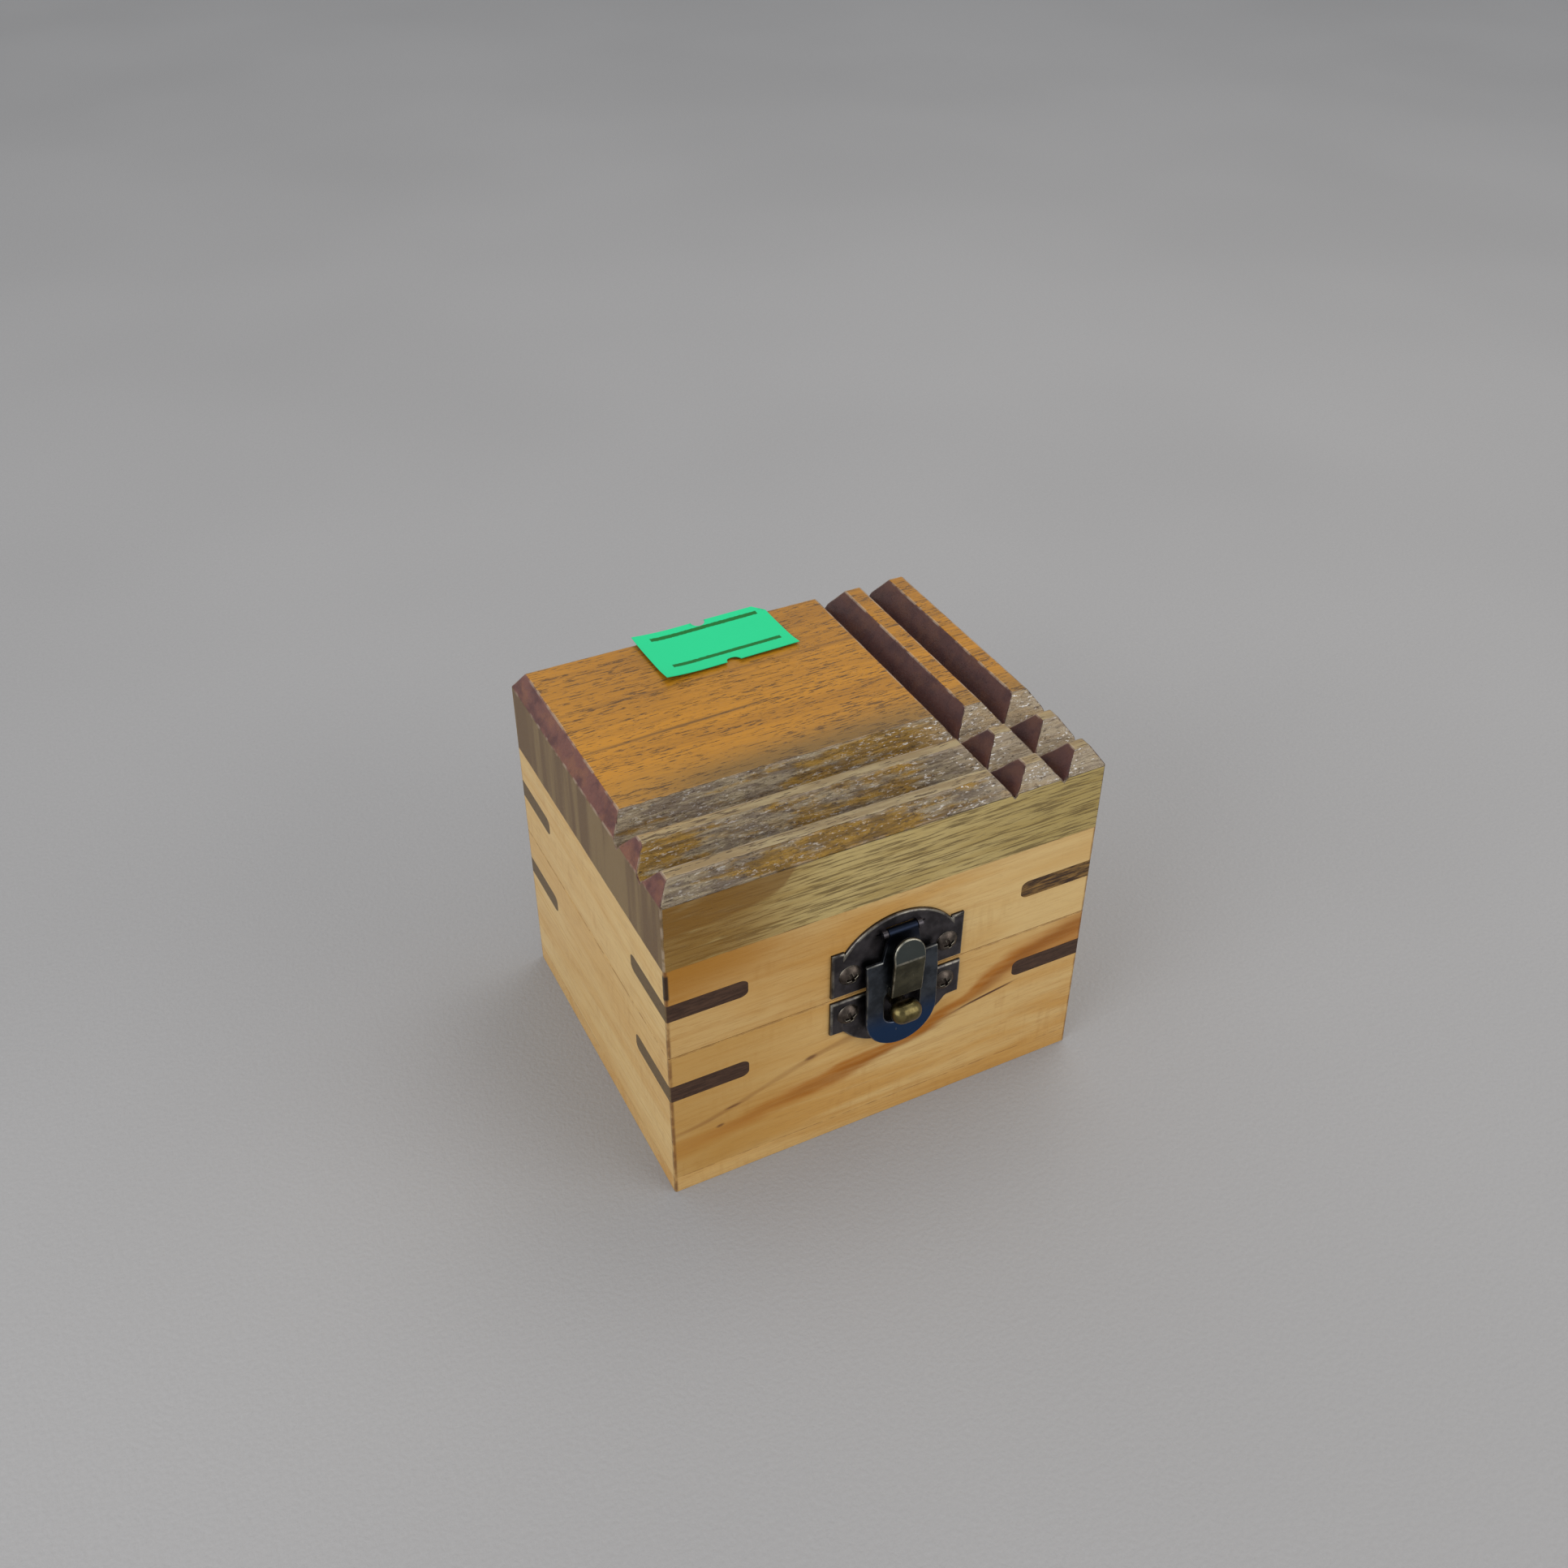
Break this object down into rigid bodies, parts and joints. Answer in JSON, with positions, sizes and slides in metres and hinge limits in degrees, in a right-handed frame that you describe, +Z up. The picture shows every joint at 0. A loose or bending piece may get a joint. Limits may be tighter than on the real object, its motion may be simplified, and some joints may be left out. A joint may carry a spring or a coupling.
{
  "type": "hinged keepsake box",
  "caption": "Small hinged wooden keepsake box with mitred light boards, dark corner splines, a thick grooved walnut lid and a hasp latch with a thumb tab.",
  "frame": {"origin": "centre of the box's underside", "axes": "+Z up, -Y towards the latch, +X to the right when facing the latch"},
  "size_m": [0.09, 0.084, 0.0767],
  "materials": {
    "walnut_slab": "satin lacquer over orange-brown walnut",
    "walnut_spline": "satin, very dark brown",
    "light_wood": "satin lacquer over yellow-tan wood",
    "dark_bronze": "antique bronze plating, dark, worn at the edges",
    "olive_bronze": "antique bronze plating worn to olive",
    "worn_brass": "plating worn through to brass",
    "hinge_bronze": "antique bronze plating",
    "screw_bronze": "antique bronze plating, satin",
    "green_paper": "bright green paper, matt"
  },
  "bodies": {
    "base": {"base_front_board": "light_wood", "base_back_board": "light_wood", "base_left_board": "light_wood", "base_right_board": "light_wood", "base_spline_front_left": "walnut_spline", "base_spline_front_right": "walnut_spline", "base_spline_back_left": "walnut_spline", "base_spline_back_right": "walnut_spline", "bottom_panel": "light_wood", "latch_lower_plate": "dark_bronze", "latch_lower_screws": "screw_bronze", "catch_post": "worn_brass", "hinge_left_base_leaf": "hinge_bronze", "hinge_right_base_leaf": "hinge_bronze", "hinge_left_pin": "screw_bronze", "hinge_right_pin": "screw_bronze", "hinge_base_screws": "screw_bronze"},
    "lid": {"lid_top": "walnut_slab", "lid_front_rail": "light_wood", "lid_back_rail": "light_wood", "lid_left_rail": "light_wood", "lid_right_rail": "light_wood", "lid_spline_front_left": "walnut_spline", "lid_spline_front_right": "walnut_spline", "lid_spline_back_left": "walnut_spline", "lid_spline_back_right": "walnut_spline", "latch_upper_plate": "dark_bronze", "latch_upper_screws": "screw_bronze", "hasp_pin": "screw_bronze", "hinge_left_lid_leaf": "hinge_bronze", "hinge_right_lid_leaf": "hinge_bronze", "hinge_lid_screws": "screw_bronze", "paper_label": "green_paper"},
    "hasp": {"hasp": "dark_bronze", "hasp_thumb_tab": "olive_bronze"}
  },
  "joints": [
    {"name": "lid_hinge", "type": "hinge", "parent": "base", "child": "lid", "pos_m": [0, 0.03875, 0.0368], "axis": [-1, 0, 0], "range_deg": [0, 105]},
    {"name": "hasp_swing", "type": "hinge", "parent": "lid", "child": "hasp", "pos_m": [0.0018, -0.03815, 0.0504], "axis": [-1, 0, 0], "range_deg": [0, 100]}
  ]
}
